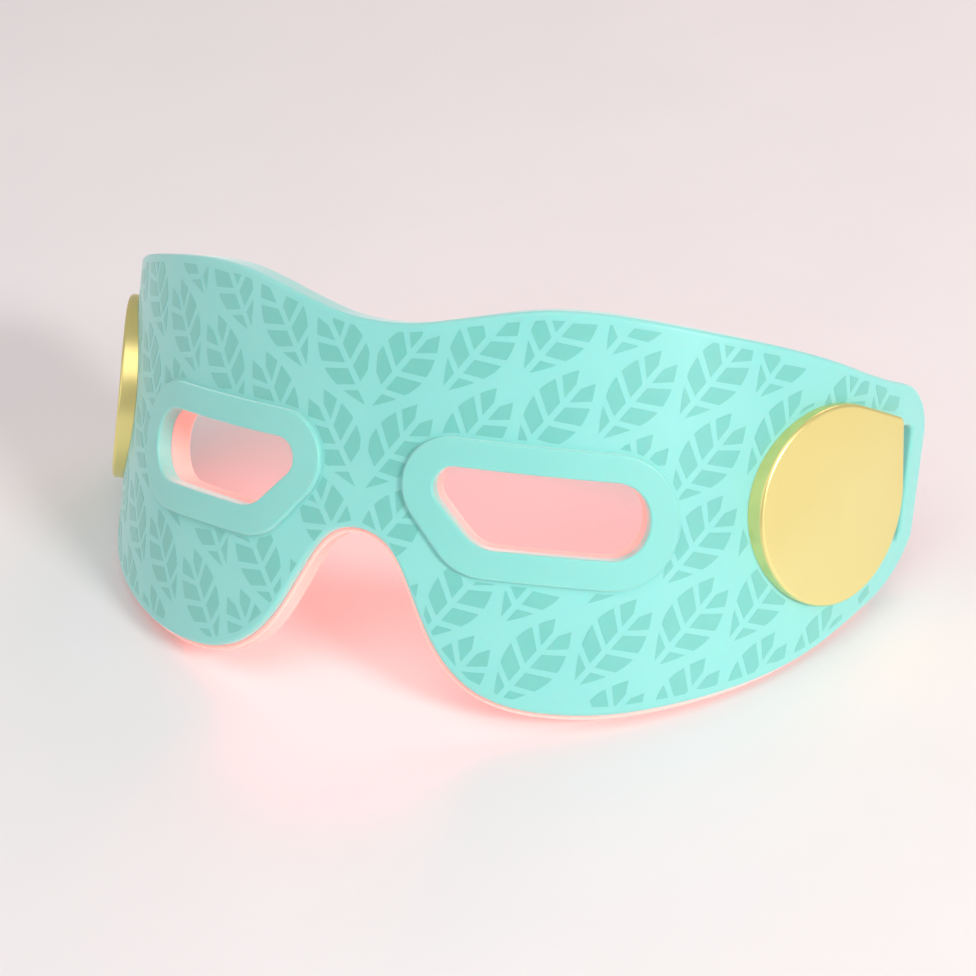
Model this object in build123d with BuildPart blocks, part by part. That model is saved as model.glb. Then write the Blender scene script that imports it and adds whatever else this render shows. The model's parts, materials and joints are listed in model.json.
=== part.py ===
from build123d import *
from math import atan2, cos, degrees, hypot, sin
import os

# Eye massager mask, lying as it rests on a table: leaning back on the lower edges of its cheeks.
# It is drawn upright, in the wearer's frame: +X to the viewer's right, the front towards -Y, +Z up.
# Each piece is then leaned back and set down on Z = 0 as it is written.
#
# The mask is one wall, bent round the face. "Skin" is the wall's outer surface. A place on it is
# given by arc, the distance round the plan curve from the nose, and by height. Depth is measured
# along the skin's outward normal, so everything inside the wall has a negative depth.

# ---- Driving dimensions, mm ----
BENDS = [(83.0, 51.0), (63.0, 34.5), (144.0, 22.5)]  # plan curve: radius and arc length, nose to end
HALF_ARC = sum(length for radius, length in BENDS)
LEAN = 26.7  # degrees that the resting mask leans back

# Half outline of the unrolled wall: arc, height of the lower edge, height of the upper edge.
OUTLINE = [
    (0, -6.6, 27.9),
    (5.4, -8.4, 28.2),
    (10.8, -16.2, 29.2),
    (16.2, -25.0, 30.5),
    (21.6, -29.8, 31.8),
    (28.0, -32.2, 33.0),
    (35.6, -32.8, 33.5),
    (45.4, -32.0, 33.1),
    (56.2, -29.6, 32.1),
    (69.1, -25.8, 30.6),
    (82.1, -20.8, 28.3),
    (95.0, -14.1, 25.6),
    (HALF_ARC, -1.6, 22.4),
]
TOP_CORNER = 9.0  # radii of the rear corners
LOW_CORNER = 4.0

SHELL_WALL = 1.6
SHELL_LIP = 1.3  # the shell's lip over the top of the liner
SHELL_DEPTH = 4.6
EDGE_ROUND = 0.7
END_WALL = 3.2  # thickness of the strap loop
LINER_DEPTH = 5.2
LINER_PROUD = 0.9  # the liner shows this far past the shell's lower edge
LIGHT_GAP = 3.0  # depth of the liner's hollow, where the lamps sit
GAP = 0.05

RIM_PROUD = 1.1
RIM_ROUND = 0.4
RIM_CORNERS = [(-1.5, 10.7), (53.3, 11.5), (53.3, -11.1), (17.7, -11.6)]
RIM_RADII = [8.0, 11.1, 11.1, 10.5]
EYE_CORNERS = [(8.1, 6.1), (48.5, 6.7), (48.5, -6.1), (20.9, -6.6)]
EYE_RADII = [3.5, 6.2, 6.2, 7.3]
EYE_ARC = 29.0  # the eye outlines are drawn on the plane that touches the skin here
NECK = 1.5  # the rim's neck fills the shell's opening, this much wider than the eye opening

FLEX = (1.7, 2.0)  # depths of the lamp circuit's two faces
FLEX_INSET = 5.0
FLEX_END = 66.0
LED = (1.6, 2.2, 0.8)
LED_STEP = 8.0
BRIDGE_SIZE = (12.0, 5.0)
BRIDGE_HEIGHT = 11.5
LED_ROWS = [(24.2, 2, 7), (17.0, 1, 7), (-17.5, 3, 7), (-24.5, 4, 6)]  # height, first and last step

POD_ARC = 82.8  # centre of each temple cover
POD_HEIGHT = 4.75
POD_RADIUS = 17.2
POD_CORNER = (14.8, 15.0)  # the cover's one square corner, up and to the rear
COVER_TOP = 1.9
COVER_BEND = 140.0
COVER_ROUND = 0.6
COVER_WALL = 1.2
COVER_ROOF = 0.7  # height of the cover's ceiling
TRAY_INSET = 2.75
TRAY_WALL = 0.8
TRAY_FLOOR = -3.5
TRAY_BASE = -4.5
POSTS = [(-10.6, 3.5), (3.0, -10.5), (10.2, -4.5)]
POST_RADIUS = 1.6
SCREW_RADIUS = 0.5
SCREW_HEAD = 1.2

MOTOR = (-5.8, -5.8)
MOTOR_RADIUS = 5.0
MOTOR_HEIGHT = 3.4
MOTOR_SKIN = 0.3
SHAFT_RADIUS = 0.4
ROTOR_RADIUS = 4.3

BOARD = (2.5, 5.6)  # centre of the control board, and of the battery in the other pod
BOARD_SIZE = (17.0, 9.0)
BOARD_LOW = -3.3
BOARD_TOP = -2.5
CHIPS = [  # place on the board, size, height
    ((-5.7, 0.8), (3.6, 3.6), 0.8),
    ((5.6, 2.0), (2.6, 2.6), 1.1),
    ((5.4, -2.2), (3.0, 1.8), 0.7),
    ((-5.6, -3.0), (2.0, 1.2), 0.6),
    ((0.0, 3.5), (1.6, 0.8), 0.5),
]
BUTTON_RADIUS = 3.6
SWITCH_TOP = -1.1

PORT_ARC = 92.0
PORT_DEPTH = 3.45
PORT_WIDTH = 8.9
PORT_HEIGHT = 3.1
PORT_LOW = -16.0  # height of the lower edge there
PORT_SLOPE = 0.6  # slope of the lower edge there
PLUG_SIZE = (3.4, 0.75)
PLUG_HINGE = (5.6, 0.325)  # the rounded end it turns about, from the middle of the socket's mouth

SLOT_ARC = 101.9
SLOT_HEIGHT = 7.7
SLOT_SIZE = (3.4, 20.0)


# ---- The skin ----
def walk(arc):
    """Point of the plan curve at this arc, and its heading in radians."""
    x, y, heading, left = 0.0, 0.0, 0.0, abs(arc)
    for radius, length in BENDS:
        step = min(left, length)
        turn = step / radius
        x += radius * (sin(heading + turn) - sin(heading))
        y += radius * (cos(heading) - cos(heading + turn))
        heading += turn
        left -= step
    side = 1 if arc >= 0 else -1
    return side * x, y, side * heading


def skin_plane(arc, height=0.0, depth=0.0):
    """Plane on the skin: x runs along the arc, y runs up, z points out of the mask."""
    x, y, heading = walk(arc)
    outward = Vector(sin(heading), -cos(heading), 0)
    origin = Vector(x, y, height) + outward * depth
    return Plane(origin=origin, x_dir=(cos(heading), sin(heading), 0), z_dir=outward)


def cross_plane(arc):
    """Plane across the wall: x points out of the mask, y runs up."""
    along = skin_plane(arc)
    return Plane(origin=along.origin, x_dir=along.z_dir, z_dir=along.x_dir * -1)


def depth_at(point):
    """Depth of a point, measured from the skin's nearest bend."""
    centre, heading = Vector(0, 0, 0), 0.0
    here = Vector(abs(point.X), point.Y, 0)
    start = Vector(0, 0, 0)
    for radius, length in BENDS:
        centre = start + Vector(-sin(heading), cos(heading), 0) * radius
        heading += length / radius
        start = centre + Vector(sin(heading), -cos(heading), 0) * radius
        spoke = here - centre
        if atan2(spoke.X, -spoke.Y) <= heading:
            break
    return spoke.length - radius


def edge_slope(index, column):
    """Slope of the outline's lower (1) or upper (2) edge at one of its points."""
    before, after = max(index - 1, 0), min(index + 1, len(OUTLINE) - 1)
    if index == 0:
        return 0.0
    rise = OUTLINE[after][column] - OUTLINE[before][column]
    return rise / (OUTLINE[after][0] - OUTLINE[before][0])


def ribbon(inner, outer, end=HALF_ARC, tall=45.0):
    """The wall between two depths, as far as one arc, and much taller than the mask."""
    with BuildPart() as body:
        with BuildSketch(Plane.XY.offset(-tall)):
            with BuildLine():
                tips = []
                for depth in (inner, outer):
                    start, heading, left = Vector(0, -depth), 0.0, end
                    for radius, length in BENDS:
                        step = min(left, length)
                        if step <= 0:
                            continue
                        turn = degrees(step / radius)
                        piece = JernArc(start, Vector(1, 0).rotate(Axis.Z, heading), radius + depth, turn)
                        start, heading, left = piece @ 1, heading + turn, left - step
                    tips.append(start)
                Line(*tips)
                Line((0, -inner), (0, -outer))
            make_face()
            mirror(about=Plane.YZ)
        extrude(amount=2 * tall)
    return body.part


def band(top_inset=0.0, low_inset=0.0, dies_at=None, inner=-14.0, outer=9.0):
    """Everything inside the outline, cut square to the wall. Insets shrink it, or grow it if negative.

    The lower inset can die away, to nothing at one arc."""
    rows = []
    for index, (arc, low, high) in enumerate(OUTLINE):
        share = 1 if dies_at is None else max(-0.3, min(1, (dies_at - arc) / 20))
        low += low_inset * share * hypot(1, edge_slope(index, 1))
        high -= top_inset * hypot(1, edge_slope(index, 2))
        rows.append((arc, low, high))
    with BuildPart() as body:
        for arc, low, high in [(-a, b, c) for a, b, c in reversed(rows[1:])] + rows:
            with BuildSketch(cross_plane(arc)):
                with Locations(((inner + outer) / 2, (low + high) / 2)):
                    Rectangle(outer - inner, high - low)
        loft()
        ends = body.faces().sort_by(Axis.Y)[-2:]
        level = [face.edges().filter_by(Axis.Z, reverse=True).sort_by(Axis.Z) for face in ends]
        fillet([edges[-1] for edges in level], TOP_CORNER - top_inset)
        level = [face.edges().filter_by(Axis.Z, reverse=True).sort_by(Axis.Z)
                 for face in body.faces().sort_by(Axis.Y)[-2:]]
        fillet([edges[0] for edges in level], LOW_CORNER)
    return body.part


def eye_prism(corners, radii, grow=0.0, near=6.0, far=-18.0):
    """A rounded outline pushed through the wall, its sides square to the skin all round."""
    middle = skin_plane(EYE_ARC)
    with BuildPart() as body:
        for level in (near, far):
            points = []
            for arc, height in corners:
                place = skin_plane(arc)
                gap = place.origin - middle.origin
                reach = (level - gap.dot(middle.z_dir)) / place.z_dir.dot(middle.z_dir)
                points.append(((gap + place.z_dir * reach).dot(middle.x_dir), height))
            with BuildSketch(middle.offset(level)):
                with BuildLine():
                    FilletPolyline(*points, radius=radii, close=True)
                make_face()
                if grow:
                    offset(amount=grow, kind=Kind.ARC)
        loft(ruled=True)
    return body.part


def both_sides(part):
    """A right-hand piece together with its mirror image."""
    return [part, mirror(part, about=Plane.YZ)]


def pod_plane(height=0.0):
    return skin_plane(POD_ARC, POD_HEIGHT, height)


def teardrop(low, high, inset=0.0):
    """The temple cover's outline, a circle drawn out to one square corner, as a prism."""
    with BuildPart() as body:
        with BuildSketch(pod_plane(low)):
            Circle(POD_RADIUS)
            with Locations((POD_CORNER[0] - 1.5, POD_CORNER[1] - 1.5)):
                Circle(1.5)
            make_hull()
            if inset:
                offset(amount=-inset)
        extrude(amount=high - low)
    return body.part


def discs(places, radius, low, high):
    """Round bars, square to the pod."""
    with BuildPart() as body:
        with BuildSketch(pod_plane(low)):
            with Locations(*places):
                Circle(radius)
        extrude(amount=high - low)
    return body.part


def outline_edges(part, depth):
    """The part's edges at one depth, without the seams where the wall's bends meet."""
    bends_meet = (0, BENDS[0][1], BENDS[0][1] + BENDS[1][1])
    seams = [skin_plane(arc, 0, depth).origin.X for arc in bends_meet]
    chosen = []
    for edge in part.edges():
        level = all(abs(depth_at(edge @ share) - depth) < 0.01 for share in (0, 0.3, 0.5, 1))
        seam = any(abs(abs((edge @ 0.5).X) - x) < 0.1 for x in seams)
        upright = abs((edge % 0.5).Z) > 0.999
        if level and not (upright and seam):
            chosen.append(edge)
    return chosen


# ---- Shell, rims and liner ----
inside_skin = ribbon(-40.0, GAP)
whole_band = band()
liner_end = SLOT_ARC - SLOT_SIZE[0] / 2 - 1.4
right_eye = eye_prism(EYE_CORNERS, EYE_RADII)
shell_eye = eye_prism(EYE_CORNERS, EYE_RADII, grow=NECK)

with BuildPart() as strap_slot:
    with BuildSketch(skin_plane(SLOT_ARC, SLOT_HEIGHT, -10)):
        RectangleRounded(*SLOT_SIZE, radius=1.4)
    extrude(amount=20)

with BuildPart() as outer_shell:
    add(ribbon(-SHELL_DEPTH, 0))
    add(whole_band, mode=Mode.INTERSECT)
    with BuildPart(mode=Mode.PRIVATE) as hollow:
        add(ribbon(-12, -SHELL_WALL, liner_end + GAP))
        add(band(top_inset=SHELL_LIP, low_inset=-12), mode=Mode.INTERSECT)
    add(hollow.part, mode=Mode.SUBTRACT)
    with BuildPart(mode=Mode.PRIVATE) as behind_loop:
        add(ribbon(-12, -END_WALL))
        add(ribbon(-13, 0, liner_end + SHELL_LIP), mode=Mode.SUBTRACT)
    add(behind_loop.part, mode=Mode.SUBTRACT)
    for cutter in (shell_eye, strap_slot.part, teardrop(-8, 8, TRAY_INSET - 0.15)):
        add(both_sides(cutter), mode=Mode.SUBTRACT)
    fillet(outline_edges(outer_shell.part, 0), EDGE_ROUND)

with BuildPart() as eye_rim_right:
    add(ribbon(0, RIM_PROUD))
    add(eye_prism(RIM_CORNERS, RIM_RADII), mode=Mode.INTERSECT)
    with BuildPart(mode=Mode.PRIVATE) as neck:
        add(ribbon(-SHELL_WALL, 0))
        add(eye_prism(EYE_CORNERS, EYE_RADII, grow=NECK - GAP), mode=Mode.INTERSECT)
    add(neck.part)
    add(right_eye, mode=Mode.SUBTRACT)
    fillet(outline_edges(eye_rim_right.part, RIM_PROUD), RIM_ROUND)

with BuildPart() as inner_liner:
    add(ribbon(-LINER_DEPTH, -SHELL_WALL - GAP, liner_end))
    add(band(SHELL_LIP + GAP, -LINER_PROUD, dies_at=liner_end), mode=Mode.INTERSECT)
    with BuildPart(mode=Mode.PRIVATE) as lamp_room:
        add(ribbon(-LIGHT_GAP, 0, FLEX_END + 1))
        add(band(FLEX_INSET - 0.5, FLEX_INSET - 0.5), mode=Mode.INTERSECT)
        add(both_sides(eye_prism(EYE_CORNERS, EYE_RADII, grow=3.5)), mode=Mode.SUBTRACT)
    add(lamp_room.part, mode=Mode.SUBTRACT)
    add(both_sides(right_eye), mode=Mode.SUBTRACT)
    add(both_sides(teardrop(TRAY_BASE - GAP, 8, TRAY_INSET - 0.1)), mode=Mode.SUBTRACT)

# ---- Lamp circuits: one flexible strip each side of the nose, and the ribbon that joins them ----
with BuildPart() as led_flex_right:
    add(ribbon(-FLEX[1], -FLEX[0], FLEX_END))
    add(band(FLEX_INSET, FLEX_INSET), mode=Mode.INTERSECT)
    add(eye_prism(EYE_CORNERS, EYE_RADII, grow=4), mode=Mode.SUBTRACT)
    with BuildPart(mode=Mode.PRIVATE) as far_side:
        with BuildSketch(Plane.XY.offset(-50)):
            with Locations((-98, 0)):
                Rectangle(200, 200)
        extrude(amount=100)
    add(far_side.part, mode=Mode.SUBTRACT)

with BuildPart() as bridge_ribbon:
    add(ribbon(-FLEX[1] - 0.35, -FLEX[1] - GAP, BRIDGE_SIZE[0] / 2))
    with BuildPart(mode=Mode.PRIVATE) as strip:
        with BuildSketch(Plane.XY.offset(BRIDGE_HEIGHT - BRIDGE_SIZE[1] / 2)):
            Rectangle(40, 40)
        extrude(amount=BRIDGE_SIZE[1])
    add(strip.part, mode=Mode.INTERSECT)

with BuildPart() as leds_right:
    for height, first, last in LED_ROWS:
        for step in range(first, last + 1):
            with BuildSketch(skin_plane(step * LED_STEP, height, -FLEX[1] - LED[2] - GAP)):
                Rectangle(LED[1], LED[0])
            extrude(amount=LED[2])

# ---- Temple pods ----
with BuildPart() as temple_cover_right:
    add(teardrop(-8, COVER_TOP))
    with BuildPart(mode=Mode.PRIVATE) as crown:
        with BuildSketch(Plane(origin=pod_plane().origin - Vector(0, 0, 30), z_dir=(0, 0, 1))):
            with Locations(pod_plane().z_dir * (COVER_TOP - COVER_BEND)):
                Circle(COVER_BEND)
        extrude(amount=60)
    add(crown.part, mode=Mode.INTERSECT)
    out_of_pod = Axis(pod_plane().origin, pod_plane().z_dir)
    fillet(temple_cover_right.faces().sort_by(out_of_pod)[-1].edges(), COVER_ROUND)
    add(teardrop(-9, COVER_ROOF, COVER_WALL), mode=Mode.SUBTRACT)
    add(inside_skin, mode=Mode.SUBTRACT)
    add(discs(POSTS, POST_RADIUS, TRAY_FLOOR + GAP, COVER_ROOF + 0.1))
    add(discs(POSTS, SCREW_RADIUS + 0.02, TRAY_FLOOR, -0.9), mode=Mode.SUBTRACT)

with BuildPart() as pod_tray_right:
    add(teardrop(TRAY_BASE, 0.5, TRAY_INSET))
    add(teardrop(TRAY_FLOOR, 1, TRAY_INSET + TRAY_WALL), mode=Mode.SUBTRACT)
    add(discs(POSTS, SCREW_RADIUS + 0.1, TRAY_BASE - 1, TRAY_FLOOR + 1), mode=Mode.SUBTRACT)
    add(discs(POSTS, SCREW_HEAD + 0.1, TRAY_BASE - 1, TRAY_BASE + 0.6), mode=Mode.SUBTRACT)

with BuildPart() as tray_screws_right:
    add(discs(POSTS, SCREW_HEAD, TRAY_BASE, TRAY_BASE + 0.6))
    add(discs(POSTS, SCREW_RADIUS, TRAY_BASE + 0.6, -1.0))

# ---- Vibration motor, a coin motor whose off-centre rotor shakes the pod ----
motor_low = TRAY_FLOOR
motor_top = TRAY_FLOOR + MOTOR_HEIGHT

with BuildPart() as motor_base_right:
    add(discs([MOTOR], MOTOR_RADIUS, motor_low, motor_low + MOTOR_SKIN))

with BuildPart() as motor_can_right:
    add(discs([MOTOR], MOTOR_RADIUS, motor_low + MOTOR_SKIN, motor_top))
    add(discs([MOTOR], MOTOR_RADIUS - MOTOR_SKIN, motor_low, motor_top - MOTOR_SKIN), mode=Mode.SUBTRACT)

with BuildPart() as motor_shaft_right:
    add(discs([MOTOR], SHAFT_RADIUS, motor_low + MOTOR_SKIN, motor_top - MOTOR_SKIN))

with BuildPart() as motor_magnet_right:
    add(discs([MOTOR], 4.0, motor_low + MOTOR_SKIN, motor_low + 0.8))
    add(discs([MOTOR], 1.5, motor_low, motor_top), mode=Mode.SUBTRACT)

with BuildPart() as motor_rotor_right:
    with BuildSketch(pod_plane(motor_low + 1.1)):
        with Locations(MOTOR):
            Circle(ROTOR_RADIUS)
            with Locations((0, ROTOR_RADIUS + 1.0)):
                Rectangle(2 * ROTOR_RADIUS, 2 * ROTOR_RADIUS, mode=Mode.SUBTRACT)
            Circle(1.3)
            Circle(SHAFT_RADIUS + 0.04, mode=Mode.SUBTRACT)
    extrude(amount=0.6)

with BuildPart() as motor_weight_right:
    with BuildSketch(pod_plane(motor_low + 1.7)):
        with Locations(MOTOR):
            Circle(ROTOR_RADIUS)
            Circle(2.2, mode=Mode.SUBTRACT)
            with Locations((0, ROTOR_RADIUS - 0.6)):
                Rectangle(2 * ROTOR_RADIUS + 1, 2 * ROTOR_RADIUS, mode=Mode.SUBTRACT)
    extrude(amount=1.2)

# ---- Right pod: battery ----
with BuildPart() as battery:
    with BuildSketch(pod_plane(TRAY_FLOOR + 0.1)):
        with Locations((BOARD[0] + 0.9, BOARD[1])):
            RectangleRounded(BOARD_SIZE[0] - 1.8, BOARD_SIZE[1], radius=1.0)
    extrude(amount=3.2)
    fillet(battery.edges().group_by(out_of_pod)[-1], 0.4)

with BuildPart() as battery_guard:
    with BuildSketch(pod_plane(TRAY_FLOOR + 0.5)):
        with Locations((BOARD[0] - BOARD_SIZE[0] / 2 + 0.7, BOARD[1])):
            Rectangle(1.4, BOARD_SIZE[1] - 1)
    extrude(amount=1.4)

# ---- Left pod: controls. Drawn on the right, then mirrored ----
with BuildPart() as board_blank:
    with BuildSketch(pod_plane(BOARD_LOW)):
        with Locations(BOARD):
            RectangleRounded(*BOARD_SIZE, radius=0.8)
    extrude(amount=BOARD_TOP - BOARD_LOW)

with BuildPart() as chips_blank:
    for spot, size, tall in CHIPS:
        with BuildSketch(pod_plane(BOARD_TOP)):
            with Locations((BOARD[0] + spot[0], BOARD[1] + spot[1])):
                Rectangle(*size)
        extrude(amount=tall)

with BuildPart() as switch_blank:
    with BuildSketch(pod_plane(BOARD_TOP)):
        with Locations(BOARD):
            Rectangle(4.0, 4.0)
            Circle(1.05, mode=Mode.SUBTRACT)
    extrude(amount=SWITCH_TOP - BOARD_TOP)

with BuildPart() as plunger_blank:
    add(discs([BOARD], 0.95, BOARD_TOP + 0.6, SWITCH_TOP + 0.4))

with BuildPart() as button_blank:
    add(discs([BOARD], BUTTON_RADIUS, 0.1, COVER_TOP + 0.6))
    fillet(button_blank.edges().group_by(out_of_pod)[-1], 0.35)
    add(discs([BOARD], BUTTON_RADIUS + 0.9, 0.1, COVER_ROOF - 0.1))
    add(discs([BOARD], 0.9, SWITCH_TOP + 0.45, 0.1))

# ---- Charging socket in the lower edge, behind the left cheek. Drawn on the right, then mirrored ----
port_skin = skin_plane(PORT_ARC, PORT_LOW, -PORT_DEPTH)
port_tilt = degrees(atan2(PORT_SLOPE, 1))
edge_along = port_skin.x_dir.rotate(Axis((0, 0, 0), port_skin.z_dir), port_tilt)
port_plane = Plane(origin=port_skin.origin, x_dir=edge_along, z_dir=edge_along.cross(port_skin.z_dir))

with BuildPart() as port_blank:
    with BuildSketch(port_plane.offset(-6.9)):
        RectangleRounded(PORT_WIDTH, PORT_HEIGHT, radius=1.1)
    extrude(amount=6.8)
    with BuildSketch(port_plane.offset(-6.6)):
        RectangleRounded(PORT_WIDTH - 0.6, PORT_HEIGHT - 0.6, radius=0.85)
    extrude(amount=7, mode=Mode.SUBTRACT)

with BuildPart() as tongue_blank:
    with BuildSketch(port_plane.offset(-6.6)):
        Rectangle(6.7, 0.7)
    extrude(amount=5.0)

with BuildPart() as plug_blank:
    with BuildSketch(port_plane.offset(-0.05)):
        with Locations((-PLUG_HINGE[0] / 2 + 3, 0)):
            RectangleRounded(PLUG_HINGE[0] + 6, PLUG_SIZE[0], radius=1.2)
        with Locations((-PLUG_HINGE[0] / 2, 0)):
            Rectangle(PLUG_HINGE[0], PLUG_SIZE[0])
    extrude(amount=PLUG_SIZE[1])
    barrel_end = port_plane.from_local_coords((-PLUG_HINGE[0], -PLUG_SIZE[0] / 2, PLUG_HINGE[1]))
    with BuildSketch(Plane(origin=barrel_end, x_dir=port_plane.x_dir, z_dir=port_plane.y_dir)):
        Circle(PLUG_SIZE[1] / 2)
    extrude(amount=PLUG_SIZE[0])
    with BuildSketch(port_plane.offset(-0.9)):
        RectangleRounded(8.0, 2.2, radius=0.8)
    extrude(amount=0.85)

with BuildPart() as port_pocket:
    with BuildSketch(port_plane.offset(-7)):
        RectangleRounded(PORT_WIDTH + 0.2, PORT_HEIGHT + 0.2, radius=1.2)
    extrude(amount=10)
    with BuildSketch(port_plane.offset(-0.1)):
        RectangleRounded(12.6, 3.6, radius=0.3)
    extrude(amount=4)

# ---- Left-hand and one-sided cuts ----
with BuildPart() as inner_liner_cut:
    add(inner_liner.part)
    add(mirror(port_pocket.part, about=Plane.YZ), mode=Mode.SUBTRACT)

with BuildPart() as cover_left_blank:
    add(temple_cover_right.part)
    add(discs([BOARD], BUTTON_RADIUS + 0.15, 0, 5), mode=Mode.SUBTRACT)

# ---- Set down as it rests, and written ----
mirrored = {
    "eye_rim_left": eye_rim_right.part,
    "led_flex_left": led_flex_right.part,
    "leds_left": leds_right.part,
    "temple_cover_left": cover_left_blank.part,
    "pod_tray_left": pod_tray_right.part,
    "tray_screws_left": tray_screws_right.part,
    "motor_base_left": motor_base_right.part,
    "motor_can_left": motor_can_right.part,
    "motor_shaft_left": motor_shaft_right.part,
    "motor_magnet_left": motor_magnet_right.part,
    "motor_rotor_left": motor_rotor_right.part,
    "motor_weight_left": motor_weight_right.part,
    "control_board": board_blank.part,
    "board_chips": chips_blank.part,
    "button_switch": switch_blank.part,
    "switch_plunger": plunger_blank.part,
    "power_button": button_blank.part,
    "charging_socket": port_blank.part,
    "socket_tongue": tongue_blank.part,
    "socket_plug": plug_blank.part,
}
pieces = {
    "outer_shell": outer_shell.part,
    "eye_rim_right": eye_rim_right.part,
    "inner_liner": inner_liner_cut.part,
    "led_flex_right": led_flex_right.part,
    "bridge_ribbon": bridge_ribbon.part,
    "leds_right": leds_right.part,
    "temple_cover_right": temple_cover_right.part,
    "pod_tray_right": pod_tray_right.part,
    "tray_screws_right": tray_screws_right.part,
    "motor_base_right": motor_base_right.part,
    "motor_can_right": motor_can_right.part,
    "motor_shaft_right": motor_shaft_right.part,
    "motor_magnet_right": motor_magnet_right.part,
    "motor_rotor_right": motor_rotor_right.part,
    "motor_weight_right": motor_weight_right.part,
    "battery": battery.part,
    "battery_guard": battery_guard.part,
}
for name, blank in mirrored.items():
    pieces[name] = mirror(blank, about=Plane.YZ)

lean = Location((0, 0, 0), (-LEAN, 0, 0))
leaning = [pieces[name].moved(lean).bounding_box() for name in pieces]
low = min(box.min.Z for box in leaning)
middle = (min(box.min.Y for box in leaning) + max(box.max.Y for box in leaning)) / 2
rest = Location((0, -middle, -low)) * lean

os.makedirs("parts", exist_ok=True)
for name, part in pieces.items():
    standing = part.moved(rest)
    standing.label = name
    export_step(standing, f"parts/{name}.step")

print("moved by", (0, -middle, -low))
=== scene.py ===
import json
import math

import bpy
from mathutils import Matrix, Vector
from mathutils.geometry import delaunay_2d_cdt


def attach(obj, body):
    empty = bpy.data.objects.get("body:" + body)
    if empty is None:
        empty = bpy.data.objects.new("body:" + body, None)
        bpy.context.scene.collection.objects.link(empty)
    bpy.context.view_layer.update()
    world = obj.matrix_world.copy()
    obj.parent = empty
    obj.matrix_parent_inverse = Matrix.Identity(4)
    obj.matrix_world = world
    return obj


# Looks of the eye massager mask: a printed leaf pattern on its shell, and a finish for every piece.
# Lengths are in millimetres until "place" turns them into the frame's metres.

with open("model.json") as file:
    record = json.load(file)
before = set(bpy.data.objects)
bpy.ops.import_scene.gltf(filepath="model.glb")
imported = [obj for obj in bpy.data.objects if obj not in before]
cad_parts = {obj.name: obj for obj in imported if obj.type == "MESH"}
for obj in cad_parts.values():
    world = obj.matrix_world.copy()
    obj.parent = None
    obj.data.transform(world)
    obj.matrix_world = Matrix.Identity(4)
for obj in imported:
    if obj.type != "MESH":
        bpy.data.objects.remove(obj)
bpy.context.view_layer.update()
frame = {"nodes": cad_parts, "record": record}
nodes = frame["nodes"]

# ---- The wall, as the CAD bends it ----
BENDS = [(83.0, 51.0), (63.0, 34.5), (144.0, 22.5)]  # plan curve: radius and arc length, nose to end
HALF_ARC = sum(length for radius, length in BENDS)
OUTLINE = [
    (0, -6.6, 27.9), (5.4, -8.4, 28.2), (10.8, -16.2, 29.2), (16.2, -25.0, 30.5), (21.6, -29.8, 31.8),
    (28.0, -32.2, 33.0), (35.6, -32.8, 33.5), (45.4, -32.0, 33.1), (56.2, -29.6, 32.1),
    (69.1, -25.8, 30.6), (82.1, -20.8, 28.3), (95.0, -14.1, 25.6), (HALF_ARC, -1.6, 22.4),
]
RIM_CORNERS = [(-1.5, 10.7), (53.3, 11.5), (53.3, -11.1), (17.7, -11.6)]
RIM_RADII = [8.0, 11.1, 11.1, 10.5]
COVER_CENTRE = (82.8, 4.75)
COVER_RADIUS = 17.2
COVER_CORNER = (13.3, 13.5)
COVER_CORNER_RADIUS = 1.5
COVER_TIPS = (-18, 108)  # degrees, where the round part of the cover ends and its corner starts
LINER_DEPTH = 5.2
MOUNT_HEIGHT = 10.0


def walk(arc):
    """Point of the plan curve at this arc, and its heading."""
    x, y, heading, left = 0.0, 0.0, 0.0, abs(arc)
    for radius, length in BENDS:
        step = min(left, length)
        turn = step / radius
        x += radius * (math.sin(heading + turn) - math.sin(heading))
        y += radius * (math.cos(heading) - math.cos(heading + turn))
        heading += turn
        left -= step
    side = 1 if arc >= 0 else -1
    return side * x, y, side * heading


face_side = next(m for m in frame["record"]["mounts"] if m["name"] == "face_side")
inward = Vector(face_side["axis"])
lean = math.atan2(-inward.z, inward.y)
leaning = Matrix.Rotation(-lean, 4, "X")
rest_shift = Vector(face_side["pos_m"]) - leaning @ (Vector((0, LINER_DEPTH, MOUNT_HEIGHT)) / 1000)


def rest(point):
    """A point of the upright mask, in mm, where it lies at rest, in metres."""
    return leaning @ (Vector(point) / 1000) + rest_shift


def place(arc, height, depth=0.0):
    """A place on the wall, at rest."""
    x, y, heading = walk(arc)
    return rest((x + depth * math.sin(heading), y - depth * math.cos(heading), height))


def new_object(name, data):
    """An object of this mesh, light or camera, in the scene."""
    thing = bpy.data.objects.new(name, data)
    bpy.context.scene.collection.objects.link(thing)
    return thing


def edge_heights(arc):
    """The outline's lower and upper edge at this arc, on a straight line between its points."""
    arc = min(abs(arc), HALF_ARC)
    for (a, low_a, high_a), (b, low_b, high_b) in zip(OUTLINE, OUTLINE[1:]):
        if arc <= b:
            t = (arc - a) / (b - a)
            return low_a + (low_b - low_a) * t, high_a + (high_b - high_a) * t
    return OUTLINE[-1][1:]


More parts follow.
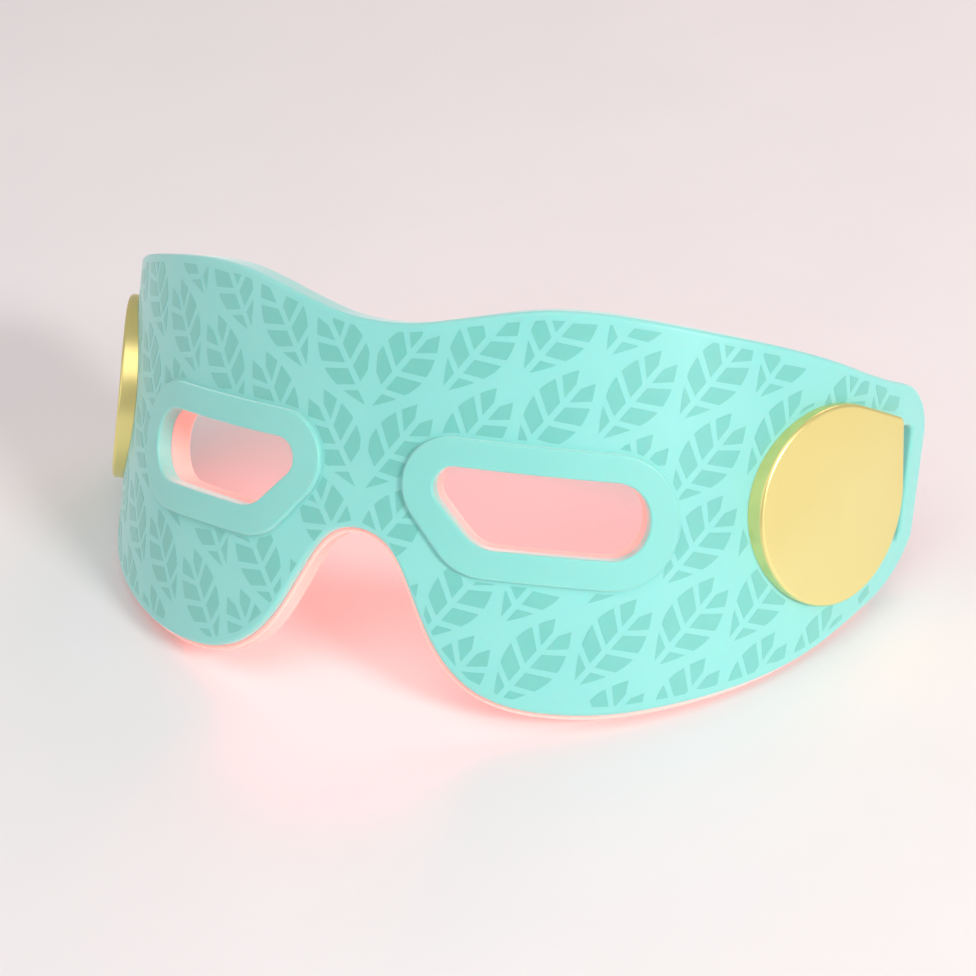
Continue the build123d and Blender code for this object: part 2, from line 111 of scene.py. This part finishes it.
# ---- Leaf pattern on the unrolled wall: one plain leaf in an even lattice, mirrored at the nose ----
LEAF = (20.0, 9.0)  # length and width
LEAF_PITCH = (22.0, 8.0)  # along the leaves and across them
LEAF_TILT = 55.0  # degrees
VEINS = 5
VEIN = 1.1
VEIN_LEAN = 1.4  # above 1, the veins lean to the leaf's tip
EDGE_STEPS = 4
LEAF_LINES = range(-16, 6)  # enough lines of leaves, and places along each, to cover one half
LEAF_ROWS = range(-3, 6)
NOSE_GAP = 0.8
PRINT_RISE = 0.05
PRINT_THICKNESS = 0.09
PRINT_EDGE = 1.5  # plain strip along the shell's edge
PRINT_CLEAR = 0.7  # plain strip round the rims and covers
BORDER_STEPS = 54  # steps of the half outline
BORDER_REACH = 49  # of those steps, the ones that are printed
GRID_STEP = 2.4  # inner points that let the film follow the bend
GRID_COLUMNS, GRID_ROWS = 42, 14  # each way from the middle
SMALLEST_CELL = 1.0  # mm2


def leaf_edge(share):
    """Place on a leaf's edge, from its foot at 0 to its tip at 1."""
    length, width = LEAF
    return length * share, max(width / 2 * math.sin(math.pi * share), VEIN / 2)


def edge_share(share):
    """Where the vein that leaves the midrib at this share of it meets the leaf's edge."""
    return 1 - (1 - share) ** VEIN_LEAN


def leaf_cells():
    """The dark cells of one leaf, between its midrib and its veins."""
    gap = VEIN / 2 / LEAF[0]
    cells = []
    for side in (1, -1):
        for index in range(VEINS):
            near, far = index / VEINS + gap, (index + 1) / VEINS - gap
            start, end = edge_share(near), edge_share(far)
            edge = [leaf_edge(start + (end - start) * step / EDGE_STEPS) for step in range(EDGE_STEPS + 1)]
            cell = [(LEAF[0] * near, VEIN / 2)] + edge + [(LEAF[0] * far, VEIN / 2)]
            cells.append([Vector((x, side * y)) for x, y in cell])
    return cells


def leaf_outline():
    edge = [leaf_edge(index / 16) for index in range(17)]
    return [Vector(p) for p in edge] + [Vector((x, -y)) for x, y in reversed(edge)]


def leaves():
    """Each leaf of the right half: its cells and its outline."""
    tilt = math.radians(LEAF_TILT)
    along = Vector((math.cos(tilt), math.sin(tilt)))
    across = Vector((-along.y, along.x))
    shapes = leaf_cells() + [leaf_outline()]
    placed = []
    for line in LEAF_LINES:
        for row in LEAF_ROWS:
            foot = along * LEAF_PITCH[0] * (row + line % 2 / 2) + across * LEAF_PITCH[1] * line
            *cells, outline = [[foot + along * p.x + across * p.y for p in shape] for shape in shapes]
            if max(p.x for p in outline) > NOSE_GAP and min(p.x for p in outline) < HALF_ARC:
                placed.append((cells, outline))
    return placed


def arc_points(centre, radius, start, end, count):
    angles = [start + (end - start) * index / count for index in range(count + 1)]
    return [Vector((centre[0] + radius * math.cos(a), centre[1] + radius * math.sin(a))) for a in angles]


def rounded(corners, radii, grow):
    """A polygon with rounded corners, grown outwards. Its corners run clockwise."""
    points = []
    for index, (corner, radius) in enumerate(zip(corners, radii)):
        corner = Vector(corner)
        before = (Vector(corners[index - 1]) - corner).normalized()
        after = (Vector(corners[(index + 1) % len(corners)]) - corner).normalized()
        half = before.angle(after) / 2
        centre = corner + (before + after).normalized() * radius / math.sin(half)
        start = math.atan2(*(-(centre - corner - before * radius / math.tan(half))).yx)
        end = math.atan2(*(-(centre - corner - after * radius / math.tan(half))).yx)
        while end - start > math.pi:
            end -= 2 * math.pi
        while end - start < -math.pi:
            end += 2 * math.pi
        points += arc_points(centre, radius + grow, start, end, 10)
    return points


def inside(point, polygon):
    """Whether a point lies in a polygon, by counting crossings."""
    hit = False
    x, y = point
    for (ax, ay), (bx, by) in zip(polygon, polygon[1:] + polygon[:1]):
        if (ay > y) != (by > y) and x < (bx - ax) * (y - ay) / (by - ay) + ax:
            hit = not hit
    return hit


def fenced(polygon):
    """A polygon with its box, so that most points are turned away at once."""
    xs, ys = [p[0] for p in polygon], [p[1] for p in polygon]
    return (min(xs), max(xs), min(ys), max(ys)), [tuple(p) for p in polygon]


def within(point, fence):
    (x0, x1, y0, y1), polygon = fence
    return x0 <= point[0] <= x1 and y0 <= point[1] <= y1 and inside(point, polygon)


def cover_outline(grow, side):
    """The temple cover's outline, grown outwards."""
    cx, cy = COVER_CENTRE
    low_tip, high_tip = (math.radians(angle) for angle in COVER_TIPS)
    points = arc_points((0, 0), COVER_RADIUS + grow, high_tip, low_tip + 2 * math.pi, 40)
    points += arc_points(COVER_CORNER, COVER_CORNER_RADIUS + grow, low_tip, high_tip, 8)
    return [Vector((side * (cx + p.x), cy + p.y)) for p in points]


def without_specks(faces, flat):
    """The triangles, without the scraps of cells that the cutting leaves."""
    leader = {}

    def find(vertex):
        while leader.setdefault(vertex, vertex) != vertex:
            vertex = leader[vertex]
        return vertex

    for face in faces:
        for vertex in face[1:]:
            leader[find(vertex)] = find(face[0])
    area = {}
    for face in faces:
        a, b, c = (flat[i] for i in face)
        area[find(face[0])] = area.get(find(face[0]), 0.0) + abs((b - a).cross(c - a)) / 2
    return [face for face in faces if area[find(face[0])] > SMALLEST_CELL]


def leaf_print():
    """The pattern's dark cells as one thin film on the shell."""
    arcs = [HALF_ARC * i / BORDER_STEPS for i in range(-BORDER_REACH, BORDER_REACH + 1)]
    border = [Vector((a, edge_heights(a)[1] - PRINT_EDGE)) for a in arcs]
    border += [Vector((a, edge_heights(a)[0] + PRINT_EDGE)) for a in reversed(arcs)]
    holes = []
    for side in (1, -1):
        rim = [Vector((side * p.x, p.y)) for p in rounded(RIM_CORNERS, RIM_RADII, PRINT_CLEAR)]
        holes += [rim, cover_outline(PRINT_CLEAR, side)]
    gap, high = NOSE_GAP, max(p.y for p in border) + PRINT_EDGE
    holes.append([Vector(p) for p in ((-gap, -high), (gap, -high), (gap, high), (-gap, high))])
    motifs = leaves()
    points, edges = [], []

    def draw(line):
        start = len(points)
        points.extend(Vector(p) for p in line)
        edges.extend((start + i, start + (i + 1) % len(line)) for i in range(len(line)))

    for outline in [border] + holes:
        draw(outline)
    for cells, _ in motifs:
        for cell in cells:
            for side in (1, -1):
                draw([(side * p.x, p.y) for p in cell])
    for column in range(-GRID_COLUMNS, GRID_COLUMNS + 1):
        for row in range(-GRID_ROWS, GRID_ROWS + 1):
            points.append(Vector((column * GRID_STEP, row * GRID_STEP)))
    flat, _, faces, *_ = delaunay_2d_cdt(points, edges, [], 0, 1e-4)
    fence_border, fence_holes = fenced(border), [fenced(h) for h in holes]
    fence_motifs = [([fenced(c) for c in cells], fenced(outline)) for cells, outline in motifs]

    def dark(point):
        if not within(point, fence_border) or any(within(point, hole) for hole in fence_holes):
            return False
        point = abs(point[0]), point[1]
        return any(within(point, outline) and any(within(point, cell) for cell in cells)
                   for cells, outline in fence_motifs)

    kept = []
    for face in faces:
        middle = sum((flat[i] for i in face), Vector((0, 0))) / len(face)
        if dark(tuple(middle)):
            kept.append(face)
    kept = without_specks(kept, flat)
    used = sorted({i for face in kept for i in face})
    number = {old: new for new, old in enumerate(used)}
    mesh = bpy.data.meshes.new("leaf_print")
    mesh.from_pydata([place(flat[i].x, flat[i].y, PRINT_RISE) for i in used], [],
                     [[number[i] for i in face] for face in kept])
    mesh.update()
    film = new_object("leaf_print", mesh)
    bpy.context.view_layer.objects.active = film
    thick = film.modifiers.new("thickness", "SOLIDIFY")
    thick.thickness = PRINT_THICKNESS / 1000
    thick.offset = -1
    bpy.ops.object.modifier_apply(modifier=thick.name)
    return film


# ---- Soft lenses on the liner, one over each lamp ----
LED_ROWS = [(24.2, 2, 7), (17.0, 1, 7), (-17.5, 3, 7), (-24.5, 4, 6)]  # height, first and last step
LED_STEP = 8.0
LENS = (2.1, 0.45)  # radius and height
LENS_RINGS = [(1.0, 0.0), (0.93, 0.12), (0.84, 0.42), (0.68, 0.72), (0.45, 0.92), (0.2, 1.0)]  # shares of it
LENS_AROUND = 28
LENS_SINK = 0.04  # its foot lies this deep in the liner


def lamp_lenses(side):
    """Shallow domes with a soft foot, standing inwards from the liner's face."""
    around, rings = LENS_AROUND, LENS_RINGS
    verts, faces = [], []
    for height, first, last in LED_ROWS:
        for step in range(first, last + 1):
            start = len(verts)
            for share, rise in rings:
                for index in range(around):
                    turn = 2 * math.pi * index / around
                    arc = side * step * LED_STEP + LENS[0] * share * math.cos(turn)
                    up = height + LENS[0] * share * math.sin(turn)
                    verts.append(place(arc, up, LENS_SINK - LINER_DEPTH - LENS[1] * rise))
            for ring in range(len(rings) - 1):
                for index in range(around):
                    a, b = start + ring * around + index, start + ring * around + (index + 1) % around
                    quad = (a, b, b + around, a + around)
                    faces.append(quad if side < 0 else quad[::-1])
            cap = [start + (len(rings) - 1) * around + index for index in range(around)]
            foot = [start + index for index in range(around)]
            faces += [cap, foot[::-1]] if side < 0 else [cap[::-1], foot]
    name = "lamp_lenses_" + ("right" if side > 0 else "left")
    mesh = bpy.data.meshes.new(name)
    mesh.from_pydata(verts, [], faces)
    mesh.update()
    for face in mesh.polygons:
        face.use_smooth = len(face.vertices) == 4
    return new_object(name, mesh)


# ---- Finishes ----
def srgb(red, green, blue):
    """A colour given in screen values, 0 to 255, as a linear one."""
    values = [v / 255 for v in (red, green, blue)]
    return tuple(v / 12.92 if v <= 0.04045 else ((v + 0.055) / 1.055) ** 2.4 for v in values) + (1.0,)


def finish(name, light, dark, grain=300.0, rough=(0.4, 0.5), bump=0.05, metallic=0.0, glow=None, depth=0.0,
           coat=0.0, stretch=(1, 1, 1), specular=0.5, sheen=0.0):
    """A material whose colour, gloss and surface vary finely, as moulded or machined parts do."""
    material = bpy.data.materials.new(name)
    material.use_nodes = True
    tree = material.node_tree
    shader = tree.nodes["Principled BSDF"]
    place_in = tree.nodes.new("ShaderNodeTexCoord")
    mapping = tree.nodes.new("ShaderNodeMapping")
    mapping.inputs["Scale"].default_value = stretch
    fine = tree.nodes.new("ShaderNodeTexNoise")
    fine.inputs["Scale"].default_value = grain
    fine.inputs["Detail"].default_value = 5
    broad = tree.nodes.new("ShaderNodeTexNoise")
    broad.inputs["Scale"].default_value = 22
    broad.inputs["Detail"].default_value = 3
    tone = tree.nodes.new("ShaderNodeValToRGB")
    tone.color_ramp.elements[0].position = 0.35
    tone.color_ramp.elements[1].position = 0.65
    tone.color_ramp.elements[0].color = srgb(*dark)
    tone.color_ramp.elements[1].color = srgb(*light)
    gloss = tree.nodes.new("ShaderNodeMapRange")
    gloss.inputs["To Min"].default_value = rough[0]
    gloss.inputs["To Max"].default_value = rough[1]
    relief = tree.nodes.new("ShaderNodeBump")
    relief.inputs["Strength"].default_value = bump
    relief.inputs["Distance"].default_value = 0.0001
    link = tree.links.new
    link(place_in.outputs["Object"], mapping.inputs["Vector"])
    link(mapping.outputs["Vector"], fine.inputs["Vector"])
    link(place_in.outputs["Object"], broad.inputs["Vector"])
    link(broad.outputs["Fac"], tone.inputs["Fac"])
    link(tone.outputs["Color"], shader.inputs["Base Color"])
    link(fine.outputs["Fac"], gloss.inputs["Value"])
    link(gloss.outputs["Result"], shader.inputs["Roughness"])
    link(fine.outputs["Fac"], relief.inputs["Height"])
    link(relief.outputs["Normal"], shader.inputs["Normal"])
    shader.inputs["Metallic"].default_value = metallic
    shader.inputs["Specular IOR Level"].default_value = specular
    shader.inputs["Coat Weight"].default_value = coat
    shader.inputs["Sheen Weight"].default_value = sheen
    if depth:
        shader.inputs["Subsurface Weight"].default_value = 1.0
        shader.inputs["Subsurface Radius"].default_value = (1.0, 0.5, 0.4)
        shader.inputs["Subsurface Scale"].default_value = depth
    if glow:
        colour, strength = glow
        shader.inputs["Emission Color"].default_value = srgb(*colour)
        shader.inputs["Emission Strength"].default_value = strength
    return material


FINISHES = {
    "shell_mint": finish("shell_mint", (150, 224, 217), (143, 219, 212), rough=(0.36, 0.46), depth=0.0004,
                         sheen=0.5),
    "rim_mint": finish("rim_mint", (146, 221, 213), (140, 216, 208), rough=(0.34, 0.44), depth=0.0004,
                       sheen=0.5),
    # The liner's weak red emission is painted glow: the silicone is no lamp, and the emission stands in for
    # the LED light shining through it and onto it.
    "liner_silicone": finish("liner_silicone", (250, 214, 205), (246, 204, 196), rough=(0.4, 0.5), depth=0.003,
                             glow=((255, 88, 78), 0.2)),
    "gold": finish("gold", (244, 231, 158), (238, 222, 143), grain=900, rough=(0.26, 0.36), metallic=0.75,
                   bump=0.03),
    "tray_white": finish("tray_white", (228, 228, 222), (218, 218, 212)),
    "flex_amber": finish("flex_amber", (196, 130, 52), (176, 108, 38), rough=(0.3, 0.4), coat=0.3),
    "led_lens": finish("led_lens", (250, 90, 80), (235, 70, 62), rough=(0.1, 0.2), glow=((255, 60, 50), 3.0)),
    "steel": finish("steel", (168, 170, 174), (150, 152, 156), grain=700, rough=(0.25, 0.4), metallic=1.0,
                    stretch=(1, 1, 0.1)),
    "magnet_dark": finish("magnet_dark", (84, 84, 90), (66, 66, 70), rough=(0.35, 0.5), metallic=1.0),
    "tungsten": finish("tungsten", (120, 120, 124), (104, 104, 108), rough=(0.4, 0.55), metallic=1.0),
    "board_green": finish("board_green", (24, 98, 56), (18, 84, 46), grain=500, rough=(0.3, 0.45), coat=0.2),
    "chip_black": finish("chip_black", (34, 34, 36), (26, 26, 28), rough=(0.5, 0.7)),
    "battery_foil": finish("battery_foil", (190, 192, 196), (172, 174, 178), rough=(0.25, 0.45), metallic=0.9,
                           bump=0.3),
    "socket_steel": finish("socket_steel", (184, 186, 190), (168, 170, 174), rough=(0.2, 0.32), metallic=1.0),
    "tongue_black": finish("tongue_black", (28, 28, 28), (20, 20, 20), rough=(0.4, 0.55)),
    "plug_rubber": finish("plug_rubber", (140, 214, 205), (133, 207, 198), rough=(0.45, 0.55), depth=0.0008),
}
for subpart in frame["record"]["subparts"]:
    slots = nodes[subpart["node"]].data.materials
    slots.clear()
    slots.append(FINISHES[subpart["material_slot"]])

cells = leaf_print()
cells.data.materials.append(finish("leaf_cells", (125, 208, 197), (118, 202, 191), rough=(0.4, 0.5),
                                   depth=0.0004, sheen=0.5))
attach(cells, "mask")

lens_finish = finish("lens_silicone", (252, 196, 188), (248, 186, 178), rough=(0.25, 0.35), depth=0.002,
                     glow=((255, 70, 58), 0.9), coat=0.3)
for side in (1, -1):
    lenses = lamp_lenses(side)
    lenses.data.materials.append(lens_finish)
    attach(lenses, "mask")


# ---- Floor, light and camera ----
FLOOR_REACH = 3.0  # metres each way
AIM = (0, 0, 0.03)  # metres
LIGHTS = [  # name, place and aim in metres, size in metres, power in watts, colour
    ("key", (0.95, -0.45, 0.55), AIM, 0.3, 8.0, (1.0, 0.97, 0.96)),
    ("fill", (-0.7, -0.8, 0.5), AIM, 0.8, 1.4, (0.97, 1.0, 1.0)),
    ("top", (0.1, -0.5, 1.05), AIM, 0.9, 3.2, (1.0, 0.95, 0.95)),
    ("lamp_glow", (0.0, 0.006, 0.04), (0.0, -0.03, 0.0), 0.03, 0.028, (1.0, 0.06, 0.05)),
    ("blush", (0.1, 0.5, 0.5), (0.03, 0.22, 0.0), 0.3, 0.7, (1.0, 0.55, 0.55)),
]
SKY = (240, 236, 237)
SKY_STRENGTH = 0.52
CAMERA_TURN = (23.282, 8.614, 6.243)  # degrees of yaw, pitch and roll, round the upright mask
CAMERA_LENS = 100.36
CAMERA_CENTRE = (0, 37.8, 0)  # the middle of the mask's depth
CAMERA_OFFSET = (5.61, -3.37, 481.2)  # mm to the right, up and back from that centre
CAMERA_CLIP = 20


def stage_floor():
    """A flat, pale floor."""
    mesh = bpy.data.meshes.new("floor")
    reach = FLOOR_REACH
    mesh.from_pydata([(-reach, -reach, 0), (reach, -reach, 0), (reach, reach, 0), (-reach, reach, 0)],
                     [], [(0, 1, 2, 3)])
    floor = new_object("floor", mesh)
    mesh.materials.append(finish("floor_pale", (241, 241, 241), (239, 239, 239), grain=60, rough=(0.5, 0.6),
                                 bump=0.0))


def soft_light(name, spot, target, size, power, colour):
    lamp = bpy.data.lights.new(name, "AREA")
    lamp.shape = "DISK"
    lamp.size = size
    lamp.energy = power
    lamp.color = colour
    light = new_object(name, lamp)
    light.location = spot
    light.rotation_euler = (Vector(target) - Vector(spot)).to_track_quat("-Z", "Y").to_euler()


def photo_camera():
    """The camera stands where the upright mask's own frame puts it."""
    yaw, pitch, roll = (math.radians(a) for a in CAMERA_TURN)
    back = Vector((math.sin(yaw) * math.cos(pitch), -math.cos(yaw) * math.cos(pitch), math.sin(pitch)))
    right = Vector((math.cos(yaw), math.sin(yaw), 0))
    up = back.cross(right)
    turned_right = right * math.cos(roll) + up * math.sin(roll)
    turned_up = up * math.cos(roll) - right * math.sin(roll)
    aside, above, away = CAMERA_OFFSET
    spot = Vector(CAMERA_CENTRE) + turned_right * aside + turned_up * above + back * away
    turn = Matrix((turned_right, turned_up, back)).transposed().to_4x4()
    data = bpy.data.cameras.new("camera")
    data.lens = CAMERA_LENS
    data.clip_end = CAMERA_CLIP
    camera = new_object("camera", data)
    camera.matrix_world = Matrix.Translation(rest(spot)) @ leaning @ turn
    bpy.context.scene.camera = camera


stage_floor()
for light_row in LIGHTS:
    soft_light(*light_row)
world = bpy.data.worlds.new("studio")
world.use_nodes = True
world.node_tree.nodes["Background"].inputs["Color"].default_value = srgb(*SKY)
world.node_tree.nodes["Background"].inputs["Strength"].default_value = SKY_STRENGTH
bpy.context.scene.world = world
bpy.context.scene.view_settings.view_transform = "Standard"
photo_camera()
